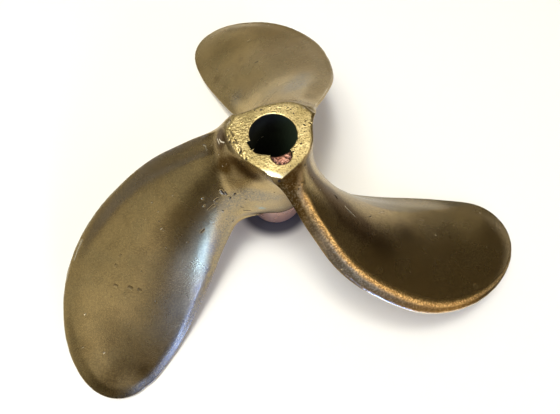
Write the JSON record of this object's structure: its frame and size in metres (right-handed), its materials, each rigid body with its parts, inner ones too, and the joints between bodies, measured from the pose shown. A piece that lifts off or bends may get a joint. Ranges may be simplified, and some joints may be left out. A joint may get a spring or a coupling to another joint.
{
  "type": "boat propeller",
  "caption": "Small bronze left-hand boat propeller with broad rounded raked blades on a long tapered-bore hub, forward hub end up.",
  "frame": {"origin": "on the shaft axis at the hub's flat aft end", "axes": "+Z along the shaft axis towards the forward hub face; seen from +Z, +X is right and +Y is away from the viewer"},
  "size_m": [0.2672, 0.2671, 0.081],
  "materials": {
    "weathered_bronze": "satin weathered bronze with a bright filed forward face",
    "copper": "rough dull copper"
  },
  "bodies": {
    "root": {"propeller_casting": "weathered_bronze", "locking_pin": "copper"}
  },
  "joints": []
}
